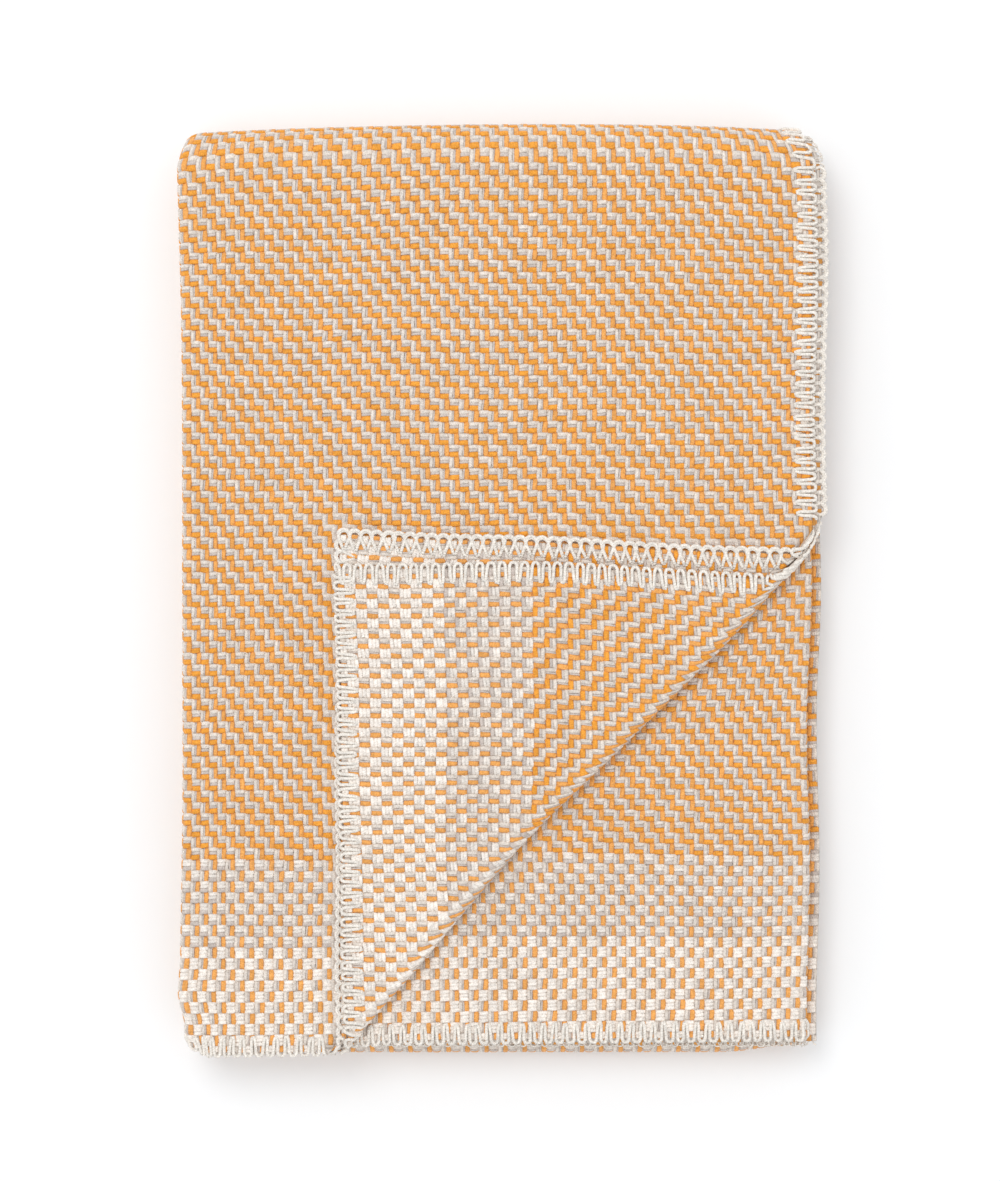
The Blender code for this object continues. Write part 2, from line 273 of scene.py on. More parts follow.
U_MARKS = marks(ACROSS)
V_MARKS = marks(ALONG)
CLOTH_WIDTH = float(U_MARKS[-1])
CLOTH_LENGTH = float(V_MARKS[-1])
WARP_PITCH = CLOTH_WIDTH / WARP_GROUPS
BAND_DEPTH = FIRST_ROW + BAND_ROW * (CREAM_ROWS + GREY_ROWS)
ROW_LINES = np.concatenate([
    FIRST_ROW + BAND_ROW * np.arange(CREAM_ROWS + GREY_ROWS),
    np.linspace(BAND_DEPTH, CLOTH_LENGTH - BAND_DEPTH, ORANGE_ROWS + 1),
    CLOTH_LENGTH - FIRST_ROW - BAND_ROW * np.arange(CREAM_ROWS + GREY_ROWS)[::-1],
])
ROW_COUNT = len(ROW_LINES) - 1


def smooth(low, high, value):
    """0 below low, 1 above high, and a smooth rise between them."""
    share = np.clip((value - low) / (high - low), 0, 1)
    return share * share * (3 - 2 * share)


# How the stack lies: the left side's move inwards by place along it, then amounts in metres.
LEFT_EDGE_Y = np.array([-0.2535, -0.2440, -0.2336, -0.2260, -0.2190, -0.2000, -0.1130,
                        0.1100, 0.1580, 0.1940, 0.2206, 0.2340, 0.2488, 0.2535])
LEFT_EDGE_IN = np.array([3.8, 4.2, 4.4, 2.2, 0.8, 2.2, 3.6, 3.3, 2.7, 1.6, 0.9, 0.4, 4.0, 6.0]) / 1000
END_Y, SIDE_X = 0.2535, 0.176  # where the shifts of the ends and sides are full
BOW_X, BOW_LEFT, BOW_RIGHT = 0.027, 0.125, 0.17  # the head fold's middle and its two parabolas
HEAD_RISE = 0.0038
FOOT_CORNER_IN, FOOT_CORNER_UP, HEAD_CORNER_IN = 0.0042, 0.0040, 0.0065
LOW_SIDE_IN = 0.0035  # how far the lowest packs' right side is drawn in
SIDE_WAVE, PLAN_WAVE, RISING_WAVE = 0.0009, 0.0004, 0.0002
CREASE_SWAY = ((0.0, 0.155, 0.0038), (0.155, 0.33, -0.0042))  # from, to and how far out it bows
SWAY_SPREAD = 0.045
ROOM_FOR_CORNER = 0.0008  # how much lower the third layer lies, for the opened corner's yarns
FOOT_FOLD_OUT = 0.0045  # how far the fold at the foot reaches past the ends above it
INNER_END_RISE = 0.0048  # how far the inner layers' ends lie in from the outer layers'


def settled(points):
    """The stack as it lies: the long fold bows down towards its ends, the sides waver.

    Each point's shift depends on its place only. The drop at the head is a parabola
    across the width, the left side moves in by a smoothed table of small amounts, corners
    are rounded, the lowest packs' right side is drawn in, the crease sways by two half
    waves that fade away from it, and low waves run through the whole."""
    x, y, z = points[..., 0], points[..., 1], points[..., 2]
    out = points.copy()
    bow = np.where(x < BOW_X, BOW_LEFT, BOW_RIGHT) * (x - BOW_X) ** 2
    out[..., 1] += HEAD_RISE * smooth(0.19, END_Y, y) - bow * smooth(0.10, 0.25, y)
    out[..., 0] += np.interp(y, LEFT_EDGE_Y, LEFT_EDGE_IN) * smooth(-0.140, -SIDE_X, x)
    foot = smooth(-0.238, -END_Y, y) * smooth(-0.155, -SIDE_X, x)
    out[..., 0] += FOOT_CORNER_IN * foot
    out[..., 1] += FOOT_CORNER_UP * foot * smooth(-0.160, -0.177, x)
    out[..., 0] -= HEAD_CORNER_IN * smooth(0.229, END_Y, y) ** 1.5 * smooth(0.10, SIDE_X, x)
    out[..., 0] += SIDE_WAVE * np.sin(38 * y + 1.0) * smooth(0.12, 0.17, x)
    out[..., 0] -= (LOW_SIDE_IN * smooth(0.166, 0.177, x) * (1 - smooth(0.02, 0.14, y))
                    * smooth(0.027, 0.019, z))
    out[..., 0] += PLAN_WAVE * np.sin(61 * y + 23 * x) * (1 - smooth(0.13, 0.17, np.abs(x)))
    out[..., 1] += PLAN_WAVE * np.sin(53 * x - 19 * y + 0.8) * (1 - smooth(0.20, 0.25, np.abs(y)))
    place = points[..., :2] - CREASE_TOP
    along, near = place @ CREASE_DIRECTION, np.exp(-((place @ CREASE_OUTWARD) / SWAY_SPREAD) ** 2)
    for start, stop, out_by in CREASE_SWAY:
        sway = out_by * np.sin(math.pi * np.clip((along - start) / (stop - start), 0, 1)) * near
        out[..., :2] += sway[..., None] * CREASE_OUTWARD
    waves = np.sin(31 * x + 17 * y + 0.6) + np.sin(27 * y - 19 * x + 2.1)
    out[..., 2] += RISING_WAVE * waves * z / CAD_HIGH.z
    return out


def stack_place(u, v, height):
    """Where sheet point (u, v) lies in the stack, at height above the cloth's middle.

    The across path gives x and the level in the four-layer strip, the along path gives y, z
    and the way the level points there, and the height adds along the layer's own normal."""
    u, v, height = np.broadcast_arrays(u, v, height)
    shape = u.shape
    u, v, height = u.ravel(), v.ravel(), height.ravel()
    section, face = follow(ACROSS, u)
    place, rising = follow(ALONG, v)
    x = section[:, 0] + height * face[:, 0]
    level = section[:, 1] + height * face[:, 1]
    inner = (u > U_MARKS[1]) & (u < U_MARKS[6])
    lift = UPPER_END_RISE * (x / (SECOND_SIDE_X * 2) + 0.5)
    lift = lift + np.where(inner, INNER_END_RISE * smooth(-0.13, -0.06, x), 0)
    y = place[:, 0] + level * rising[:, 0] + lift * (1 - smooth(0.0, 0.16, v))
    third = smooth(U_MARKS[2], U_MARKS[2] + 0.01, u) * smooth(U_MARKS[4], U_MARKS[4] - 0.01, u)
    z = place[:, 1] + level * rising[:, 1] - ROOM_FOR_CORNER * third * (1 - smooth(0.28, 0.32, v))
    at_foot = smooth(V_MARKS[3] - 0.09, V_MARKS[3], v) * smooth(V_MARKS[4] + 0.09, V_MARKS[4], v)
    y = y - FOOT_FOLD_OUT * at_foot * smooth(0.168, 0.120, x) * smooth(-0.16, -0.11, x)
    return settled(np.stack([x, y, z], 1)).reshape(shape + (3,))


def corner_axes(side):
    """The turned layer's corner, and its two edges' directions: down its end, along its side."""
    corner, top_trim, foot_trim, _, _ = CORNERS[side]
    top = CREASE_TOP + CREASE_DIRECTION * top_trim
    foot = CREASE_FOOT - CREASE_DIRECTION * foot_trim
    down = (foot - corner) / np.linalg.norm(foot - corner)
    right = (top - corner) / np.linalg.norm(top - corner)
    corner = corner + EDGE_INSET * (down + right)
    return corner, down, right


def corner_plan(side, u, v):
    """Plan of sheet point (u, v) on a turned layer, and its distances past and along the crease."""
    corner, down, right = corner_axes(side)
    away = (u if side == 1 else CLOTH_WIDTH - u)[..., None]
    plan = corner + away * down + v[..., None] * right
    return plan, (plan - CREASE_TOP) @ CREASE_OUTWARD, (plan - CREASE_TOP) @ CREASE_DIRECTION


def crease_edges(side):
    """Where the turned layer's edges meet the crease, how they run past it, and where they end.

    Distances along the crease: at the crease, per metre past it, and at the roll's foot."""
    corner, down, right = corner_axes(side)
    start = corner - CREASE_TOP
    found = []
    for way in (right, down):
        slope = (way @ CREASE_DIRECTION) / (way @ CREASE_OUTWARD)
        found.append((start @ CREASE_DIRECTION - slope * (start @ CREASE_OUTWARD), slope))
    side_x = (TOP_SIDE_X if side == 4 else SECOND_SIDE_X) - EDGE_INSET
    top_end = (side_x - CREASE_TOP[0]) / CREASE_DIRECTION[0]
    foot_end = CREASE_LENGTH - EDGE_INSET / abs(CREASE_DIRECTION[1])
    return (*found[0], top_end), (*found[1], foot_end)


CREASE_SHEAR = 1.1  # how far a yarn runs along the crease per length past it
SHEAR_FADE = 0.06
CORNER_BOW = 0.0030  # how far the turned corner's side edge bows out


def drawn_along(side, past, along):
    """On the roll the cloth is drawn towards both ends, so its edges meet the stack's.

    The shift grows with the share of the half turn made and fades away from each edge."""
    turned = math.pi * CORNERS[side][3]
    gone = np.clip(past, 0, turned)
    (top, top_slope, top_end), (foot, foot_slope, foot_end) = crease_edges(side)
    to_top = (top_end - top - top_slope * turned) * gone / turned
    to_foot = (foot_end - foot - foot_slope * turned) * gone / turned
    near_top = 1 - smooth(0.0, SHEAR_FADE, along - top - top_slope * gone)
    near_foot = 1 - smooth(0.0, SHEAR_FADE, foot + foot_slope * gone - along)
    sheared = CREASE_SHEAR * gone * (1 - near_top) * (1 - near_foot)
    return along - sheared + to_top * near_top + to_foot * near_foot


def corner_place(side, u, v, height):
    """Where sheet point (u, v) lies on a turned layer: flat up to the crease, then round it.

    Past the crease the distance becomes an angle about the crease, distance over radius."""
    u, v, height = (np.array(a, float) for a in np.broadcast_arrays(u, v, height))
    radius, up = CORNERS[side][3:]
    plan, past, along = corner_plan(side, u, v)
    angle = np.clip(past / radius, 0, math.pi)
    reach = radius + up * height
    run = drawn_along(side, past, along)
    round_plan = (
        CREASE_TOP + run[..., None] * CREASE_DIRECTION
        + (reach * np.sin(angle))[..., None] * CREASE_OUTWARD
    )
    flat = past <= 0
    xy = np.where(flat[..., None], plan, round_plan)
    if side == 1:
        bow = CORNER_BOW * np.sin(math.pi * np.clip(v / 0.235, 0, 1))
        xy[..., 1] += bow * (1 - smooth(0.0, 0.10, np.clip(u, 0, None)))
    z = CREASE_Z + np.where(flat, reach, reach * np.cos(angle))
    return settled(np.concatenate([xy, z[..., None]], -1))


def past_crease(points):
    return (points[..., :2] - CREASE_TOP) @ CREASE_OUTWARD


# ---- meshes ------------------------------------------------------------------------------


def finished(name, points, quads, material, maps, colour=None):
    """One mesh object from arrays: points (n, 3), quads (m, 4), maps by name, a colour per point."""
    points = points.reshape(-1, 3)
    mesh = bpy.data.meshes.new(name)
    mesh.vertices.add(len(points))
    mesh.vertices.foreach_set("co", points.astype(np.float32).ravel())
    mesh.loops.add(quads.size)
    mesh.loops.foreach_set("vertex_index", quads.astype(np.int32).ravel())
    mesh.polygons.add(len(quads))
    mesh.polygons.foreach_set("loop_start", np.arange(0, quads.size, 4, dtype=np.int32))
    mesh.update(calc_edges=True)
    for title, places in maps.items():
        layer = mesh.uv_layers.new(name=title)
        layer.uv.foreach_set("vector", places.reshape(-1, 2)[quads.ravel()].astype(np.float32).ravel())
    if colour is not None:
        layer = mesh.color_attributes.new("yarn_colour", "FLOAT_COLOR", "POINT")
        full = np.concatenate([colour.reshape(-1, 3), np.ones((len(points), 1))], 1)
        layer.data.foreach_set("color", full.astype(np.float32).ravel())
    mesh.shade_smooth()
    mesh.materials.append(material)
    obj = bpy.data.objects.new(name, mesh)
    bpy.context.scene.collection.objects.link(obj)
    return obj


def grid_quads(rows, columns, start=0, turned=False):
    """Quads of a grid of rows by columns points, numbered row by row from start."""
    near = np.arange(rows - 1)[:, None] * columns + np.arange(columns - 1)[None, :] + start
    quads = np.stack([near, near + 1, near + columns + 1, near + columns], -1).reshape(-1, 4)
    return quads[:, ::-1] if turned else quads


def cloth_slab(name, place, u, v):
    """The cloth's body over a grid of sheet points: its two faces, joined by a rim.

    Its map counts the weave's cells: u over the warp pitch, and the row number at v."""
    rows, columns = v.shape
    count = rows * columns
    index = np.arange(count).reshape(rows, columns)
    rim = np.concatenate([index[0], index[1:, -1], index[-1, -2::-1], index[-2:0:-1, 0]])
    following = np.roll(rim, -1)
    quads = np.concatenate([
        grid_quads(rows, columns, 0, True),
        grid_quads(rows, columns, count),
        np.stack([rim, following, following + count, rim + count], 1),
    ])
    points = np.concatenate([place(u, v, side).reshape(-1, 3) for side in (HALF_CORE, -HALF_CORE)])
    weave = np.stack([u / WARP_PITCH, row_of(np.clip(v, 0, None))], -1).reshape(-1, 2)
    maps = {"Weave": np.concatenate([weave, weave])}
    return finished(name, points, quads, material("woven_cloth"), maps)


def tube(name, centres, radius, up, material, colour, sides=6):
    """A closed tube through centres (n, 3): rings square to the path, leaning to a given up."""
    way = np.gradient(centres, axis=0)
    way /= np.linalg.norm(way, axis=1, keepdims=True)
    beside = np.cross(way, up)
    beside /= np.linalg.norm(beside, axis=1, keepdims=True)
    over = np.cross(beside, way)
    turn = 2 * math.pi * np.arange(sides) / sides
    rings = centres[:, None, :] + radius * (
        np.cos(turn)[None, :, None] * beside[:, None, :] + np.sin(turn)[None, :, None] * over[:, None, :]
    )
    count = len(centres)
    near = np.arange(count - 1)[:, None] * sides
    step = np.arange(sides)[None, :]
    following = (step + 1) % sides
    far = near + sides
    quads = np.stack([near + step, far + step, far + following, near + following], -1)
    last = (count - 1) * sides
    cap = np.array([[0, k, k + 1, k + 2] for k in range(1, sides - 2, 2)])
    quads = np.concatenate([quads.reshape(-1, 4), cap, last + cap[:, ::-1]])
    length = np.concatenate([[0], np.cumsum(np.linalg.norm(np.diff(centres, axis=0), axis=1))])
    strand = np.stack(np.broadcast_arrays(length[:, None] * 1000, step / sides), -1)
    tint = np.broadcast_to(np.array(colour, float), rings.shape)
    return finished(name, rings, quads, material, {"Strand": strand}, tint)


# ---- woven surfaces ----------------------------------------------------------------------


def row_of(v):
    """Row number, with a fraction, at sheet distance v."""
    return np.interp(v, ROW_LINES, np.arange(ROW_COUNT + 1))


def weft_order(row):
    """Widths and colours of the three weft yarns of each row, in the order of growing v.

    From either end: ten rows all cream, eight rows of grey and two creams, then orange,
    grey and cream."""
    c = colours()
    orange, grey, cream = np.array(c.orange), np.array(c.grey), np.array(c.cream)
    end = np.minimum(row, ROW_COUNT - 1 - row)[:, None]
    plain, banded = end < CREAM_ROWS, end < CREAM_ROWS + GREY_ROWS
    widths = np.where(banded, [[0.36, 0.30, 0.34]], [[0.42, 0.25, 0.33]])
    widths = np.where(plain, [[0.34, 0.32, 0.34]], widths)
    tints = np.where(banded[..., None], [[grey, cream * 0.98, cream]],
                     [[orange, grey, cream * (0.91, 0.885, 0.86)]])
    return widths, np.where(plain[..., None], [[cream * 1.08, cream * 1.07, cream * 1.08]], tints)


def warp_order(column):
    """Widths and colours of the three warp yarns: cream, grey, orange with growing u."""
    c = colours()
    pale = np.array(c.orange) * 0.91 + np.array(c.cream) * 0.09
    dull = np.array(c.cream) * (0.90, 0.875, 0.85)
    count = len(column)
    widths = np.tile([[0.35, 0.19, 0.46]], (count, 1))
    return widths, np.tile(np.array([[dull, np.array(c.grey), pale]]), (count, 1, 1))


END_PAINTED_SHADE = np.array([0.09, 0.17, 0.24])  # painted shade: how much of each colour is lost where a yarn dives under its neighbours
END_SHIFT, SIDE_SHIFT = 0.00022, 0.00016  # how far a raised yarn lies out of place by chance
LEAN = 0.075  # how far a raised yarn leans, per half its length
END_TAPER = 0.38  # how much narrower it is at its ends
SUNK, END_DROP = 0.00012, 0.0004  # how far its flat and its ends lie in the cloth's body


def strands(begin, finish, low, high, widths, tints, relief, steps, rng):
    """Raised yarns of many weave cells, three to a cell, as closed half tubes in sheet coordinates.

    In section each is a low arch closed by its flat, and along its length the height falls
    as one minus the fourth power of the distance from its middle, so that its ends dive
    under the yarns they meet. Each leans, shifts and swells a little by chance."""
    s = sizes()
    cells = len(begin)
    edges = np.concatenate([np.zeros((cells, 1)), np.cumsum(widths, 1)], 1)
    reach = (high - low)[:, None]
    middle = low[:, None] + reach * (edges[:, :-1] + edges[:, 1:]) / 2
    half_width = reach * widths / 2 * s.fullness
    along = np.linspace(-1, 1, steps + 1)[:, None]
    chance = rng.uniform(-1, 1, (5, cells, 3))[..., None, None]
    centre = ((begin + finish) / 2)[:, None, None, None] + END_SHIFT * chance[0]
    half_length = ((finish - begin) / 2 + s.overlap)[:, None, None, None] * (1 + 0.05 * chance[1])
    lean = LEAN * half_length * (0.6 + chance[2]) * along
    taper = 1 - END_TAPER * np.abs(along) ** 4
    side = middle[..., None, None] + lean + half_width[..., None, None] * taper * STRAND_ACROSS
    side = side + SIDE_SHIFT * chance[3]
    length = centre + half_length * along + 0 * side
    swell = (relief[:, None] * (0.90 + 0.5 * widths))[..., None, None] * (1 + 0.12 * chance[4])
    height = HALF_CORE - SUNK + swell * STRAND_RISE * (1 - np.abs(along) ** 4)
    height = height - END_DROP * np.abs(along) ** 6 + 0 * side
    tint = tints[:, :, None, None, :] * (1 + 0.045 * chance[0] + 0.04 * chance[3])[..., None]
    # painted shade: each yarn's colour darkens towards its ends, where it dives, most in blue
    tint = np.broadcast_to(tint, side.shape + (3,)) * (1 - END_PAINTED_SHADE * np.abs(along)[..., None] ** 3)
    share = np.broadcast_to((along + 1) / 2, side.shape)
    round_share = np.broadcast_to((STRAND_ACROSS + 1) / 2, side.shape)
    low_edge, high_edge = edges[:, :-1, None, None], edges[:, 1:, None, None]
    flat_side = low_edge + (high_edge - low_edge) * round_share
    fibres = np.stack([length * 1000 + 3 * chance[1], round_share], -1)
    return length, side, height, tint, share, flat_side, fibres


def strand_quads(count, steps, turned):
    """Quads of count closed half tubes of steps lengths, each ring having four points."""
    ring = np.arange(steps)[:, None] * 4
    step = np.arange(4)[None, :]
    following = (step + 1) % 4
    one = np.stack([ring + step, ring + following, ring + 4 + following, ring + 4 + step], -1)
    one = one.reshape(-1, 4)
    last = steps * 4
    one = np.concatenate([one, [[3, 2, 1, 0], [last, last + 1, last + 2, last + 3]]])
    one = one[:, ::-1] if turned else one
    return (np.arange(count)[:, None, None] * (steps + 1) * 4 + one[None]).reshape(-1, 4)


def held_in(distance, length):
    """Distances outside 0 to length are drawn back to a ninth of how far outside they are."""
    inside = np.clip(distance, 0, length)
    return inside + (distance - inside) / 9


FLAT_AREA = 1e-9  # twice the area under which a quad counts as flattened, in square metres


def woven(name, cell, place=stack_place, slot="cloth_orange", body="folded_stack", steps=4, face=1,
          relief=None, stop_at=None):
    """The raised yarns over the given weave cells, as one mesh, riding a body if one is named.

    Where column and row add up to an even number the weft lies on the face, otherwise the
    warp does, and the other way about on the reverse. A cell's yarns are worked out in sheet
    coordinates and carried to their place by the function given. Yarns that stop_at leaves
    flat are dropped."""
    columns, rows = cell
    rng = np.random.default_rng(SEED + len(columns))
    relief = np.broadcast_to(sizes().relief if relief is None else relief, columns.shape)
    weft = (columns + rows) % 2 == (0 if face > 0 else 1)
    parts, corners = [], []
    for over in (True, False):
        pick = weft == over
        i, j = columns[pick], rows[pick]
        u_span, v_span = (i * WARP_PITCH, (i + 1) * WARP_PITCH), (ROW_LINES[j], ROW_LINES[j + 1])
        spans = (*u_span, *v_span, *weft_order(j)) if over else (*v_span, *u_span, *warp_order(i))
        run, beside, height, tint, share, flat_side, fibres = strands(*spans, relief[pick], steps, rng)
        u, v = (run, beside) if over else (beside, run)
        across, down = (share, flat_side) if over else (flat_side, share)
        flat = np.stack([i[:, None, None, None] + across, j[:, None, None, None] + down], -1)
        points = place(held_in(u, CLOTH_WIDTH), held_in(v, CLOTH_LENGTH), face * height)
        if stop_at is not None:
            points = stop_at(points)
        corners.append(strand_quads(len(points) * 3, steps, over == (face > 0)))
        parts.append([values.reshape(-1, values.shape[-1]) for values in (points, flat, fibres, tint)])
    quads = np.concatenate([corners[0], corners[1] + len(parts[0][0])])
    points, flat, fibres, tint = (np.concatenate(both) for both in zip(*parts))
    flat = (flat - flat.min(0)) / np.ptp(flat, axis=0).max()
    if stop_at is not None:
        each = 4 * steps + 2
        a, b, c, d = (points[quads[:, k]] for k in range(4))
        area = np.linalg.norm(np.cross(c - a, d - b), axis=1)
        kept = (area > FLAT_AREA).reshape(-1, each).any(1)
        used, index = np.unique(quads.reshape(-1, each, 4)[kept], return_inverse=True)
        quads = index.reshape(-1, 4)
        points, flat, fibres, tint = (values[used] for values in (points, flat, fibres, tint))
    maps = {"OFBake": flat, "Strand": fibres}
    piece = finished(name, points, quads, material("spun_yarn"), maps, tint)
    return ride_as(piece, body) if body else piece


def middles(cell):
    """Sheet coordinates of the middles of weave cells."""
    columns, rows = cell
    return (columns + 0.5) * WARP_PITCH, (ROW_LINES[rows] + ROW_LINES[rows + 1]) / 2


def cells(u_low, u_high, v_low, v_high):
    """Column and row numbers (2, n) of the weave cells whose middles lie in a range of the sheet."""
    i, j = np.arange(WARP_GROUPS), np.arange(ROW_COUNT)
    u, v = middles((i, j))
    i, j = i[(u > u_low) & (u < u_high)], j[(v > v_low) & (v < v_high)]
    return np.array(np.meshgrid(i, j, indexing="ij")).reshape(2, -1)


# ---- materials ---------------------------------------------------------------------------


CLOTH_SURFACE = {
    "Roughness": 0.92, "Specular_IOR_Level": 0.12, "Sheen_Weight": 0.22, "Sheen_Roughness": 0.45}


class Nodes:
    """Short ways to add and link nodes in one material."""

    def __init__(self, name):
        self.material = bpy.data.materials.new(name)
        self.material.use_nodes = True
        self.tree = self.material.node_tree
        self.shader = self.tree.nodes["Principled BSDF"]

    def add(self, kind, links=(), **values):
        node = self.tree.nodes.new(kind)
        for key, value in values.items():
            setattr(node, key, value)
        for socket, source in dict(links).items():
            if isinstance(source, bpy.types.NodeSocket):
                self.tree.links.new(source, node.inputs[socket])
            else:
                node.inputs[socket].default_value = source
        return node

    def math(self, operation, first, second=0.0, third=0.0):
        links = {0: first, 1: second, 2: third}
        return self.add("ShaderNodeMath", links, operation=operation).outputs[0]

    def mix(self, factor, first, second, kind="MIX"):
        links = {0: factor, 6: first, 7: second}
        return self.add("ShaderNodeMix", links, data_type="RGBA", blend_type=kind).outputs[2]

    def noise(self, scale, detail, vector):
        links = {"Vector": vector, "Scale": scale, "Detail": detail, "Roughness": 0.6}
        return self.add("ShaderNodeTexNoise", links).outputs["Fac"]

    def vector(self, operation, *inputs):
        links = dict(enumerate(inputs))
        return self.add("ShaderNodeVectorMath", links, operation=operation).outputs[0]

    def cloth_finish(self, colour, height, strength, distance):
        links = {"Strength": strength, "Distance": distance, "Height": height}
        bump = self.add("ShaderNodeBump", links).outputs[0]
        self.tree.links.new(colour, self.shader.inputs["Base Color"])
        self.tree.links.new(bump, self.shader.inputs["Normal"])
        self.set(**CLOTH_SURFACE)
        return self.material

    def set(self, **values):
        for name, value in values.items():
            self.shader.inputs[name.replace("_", " ")].default_value = value


YARN_FINISH = {"spun_yarn": (0.84, 0.6), "stitching_yarn": (0.90, 0.9)}  # painted shade on the flanks, twist depth


def spun_yarn(name, painted_flank_shade, twist_depth):
    """Softly spun yarn: its own colour, with painted shade darkening it down its flanks, a slanting twist and
    fluff.
    """
    n = Nodes(name)
    colour = n.add("ShaderNodeAttribute", attribute_name="yarn_colour").outputs["Color"]
    strand = n.add("ShaderNodeUVMap", uv_map="Strand").outputs["UV"]
    split = n.add("ShaderNodeSeparateXYZ", {0: strand})
    along, round_it = split.outputs[0], split.outputs[1]
    place = n.add("ShaderNodeTexCoord").outputs["Object"]
    slant = n.math("MULTIPLY_ADD", round_it, 5.0, 0.0)
    twist = n.math("SINE", n.math("MULTIPLY_ADD", along, 4.6, slant))
    fluff, cloudy, mottled = (
        n.noise(scale, detail, place) for scale, detail in ((1500.0, 3.0), (90.0, 2.0), (760.0, 2.0)))
    drawn = n.vector("MULTIPLY", strand, (0.55, 5.0, 1.0))
    streaks = n.noise(1.0, 3.0, n.vector("MULTIPLY_ADD", place, (90.0, 90.0, 90.0), drawn))
    # painted shade: the colour is darkest down the yarn's flanks and full along its crown; the noises after
    # it add fibre tone
    flank = n.math("MULTIPLY", n.math("MULTIPLY", round_it, n.math("SUBTRACT", 1.0, round_it)), 4.0)
    crown = n.math("POWER", flank, 0.6)
    painted_shade_and_tone = n.math("MULTIPLY_ADD", crown, 1.0 - painted_flank_shade, painted_flank_shade)
    painted_shade_and_tone = n.math("MULTIPLY_ADD", twist, 0.035, painted_shade_and_tone)
    for noise, amount, middle in (
            (fluff, 0.50, 0.235), (cloudy, 0.20, 0.10), (mottled, 0.70, 0.335), (streaks, 0.70, 0.335)):
        painted_shade_and_tone = n.math("MULTIPLY_ADD", noise, amount, n.math("SUBTRACT", painted_shade_and_tone, middle))
    grey = n.add("ShaderNodeCombineXYZ", {0: painted_shade_and_tone, 1: painted_shade_and_tone, 2: painted_shade_and_tone}).outputs[0]
    shaded = n.mix(1.0, colour, grey, "MULTIPLY")
    height = n.math("MULTIPLY_ADD", fluff, 1.6, n.math("MULTIPLY", twist, twist_depth))
    return n.cloth_finish(shaded, height, 0.5, 0.00035)


def woven_cloth(name):
    """The cloth's body: the same weave, drawn on the sheet's own map in cells of three yarns, mixed towards
    dark brown as painted shade between the raised yarns.
    """
    c = colours()
    n = Nodes(name)
    weave = n.add("ShaderNodeUVMap", uv_map="Weave").outputs["UV"]
    split = n.add("ShaderNodeSeparateXYZ", {0: weave})
    column, row = split.outputs[0], split.outputs[1]
    total = n.math("ADD", n.math("FLOOR", column), n.math("FLOOR", row))
    odd = n.math("MODULO", total, 2.0)
    orange, grey, cream = (*c.orange, 1), (*c.grey, 1), (*c.cream, 1)

    def three(position, first, second, third, stops):
        early = n.mix(n.math("GREATER_THAN", position, stops[0]), first, second)
        return n.mix(n.math("GREATER_THAN", position, stops[1]), early, third)

    across, down = n.math("FRACT", column), n.math("FRACT", row)
    warp = three(across, cream, grey, orange, (0.35, 0.54))
    weft = three(down, orange, grey, cream, (0.42, 0.67))
    band = three(down, grey, cream, cream, (0.36, 0.66))
    end = n.math("MINIMUM", row, n.math("SUBTRACT", float(ROW_COUNT), row))
    weft = n.mix(n.math("LESS_THAN", end, float(CREAM_ROWS + GREY_ROWS)), weft, band)
    weft = n.mix(n.math("LESS_THAN", end, float(CREAM_ROWS)), weft, cream)
    both = n.mix(odd, weft, warp)
    place = n.add("ShaderNodeTexCoord").outputs["Object"]
    fluff = n.noise(1300.0, 3.0, place)
    # painted shade: the weave's colours are mixed 10 to 34 per cent towards dark brown, standing in for the
    # shadow between raised yarns
    deep = n.mix(n.math("MULTIPLY_ADD", fluff, 0.24, 0.10), both, (0.42, 0.29, 0.19, 1))
    bow_across = n.math("SINE", n.math("MULTIPLY", across, math.pi * 3))
    bow_down = n.math("SINE", n.math("MULTIPLY", down, math.pi * 3))
    ribs = n.math("ABSOLUTE", n.add("ShaderNodeMix", {0: odd, 2: bow_down, 3: bow_across}).outputs[0])
    height = n.math("MULTIPLY_ADD", fluff, 0.5, ribs)
    return n.cloth_finish(deep, height, 0.6, 0.0005)


def material(key):
    """The three finishes, each made once."""
    made = bpy.data.materials.get(key)
    if made is None:
        made = spun_yarn(key, *YARN_FINISH[key]) if key in YARN_FINISH else woven_cloth(key)
    return made


# ---- pieces ------------------------------------------------------------------------------


def ride_as(obj, body, nodes=()):
    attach(obj, body)
    if nodes:
        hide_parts(*nodes)
    return obj


def crease_start(u):
    """How far along the sheet the top two layers start, where their corner is turned over."""
    x = follow(ACROSS, u)[0][:, 0]
    outer = (u < U_MARKS[1]) | (u > U_MARKS[6])
    slope = CREASE_DIRECTION[1] / CREASE_DIRECTION[0]
    y = CREASE_TOP[1] + slope * (x - CREASE_TOP[0])
    return np.where(outer, np.maximum(y - UPPER_END_Y - EDGE_INSET, 0), 0)


def sheet_marks(path_marks, steps):
    """Grid lines along a path, so many to each of its pieces."""
    return np.concatenate([
        np.linspace(low, high, count, endpoint=False)
        for low, high, count in zip(path_marks, path_marks[1:], steps)
    ] + [path_marks[-1:]])


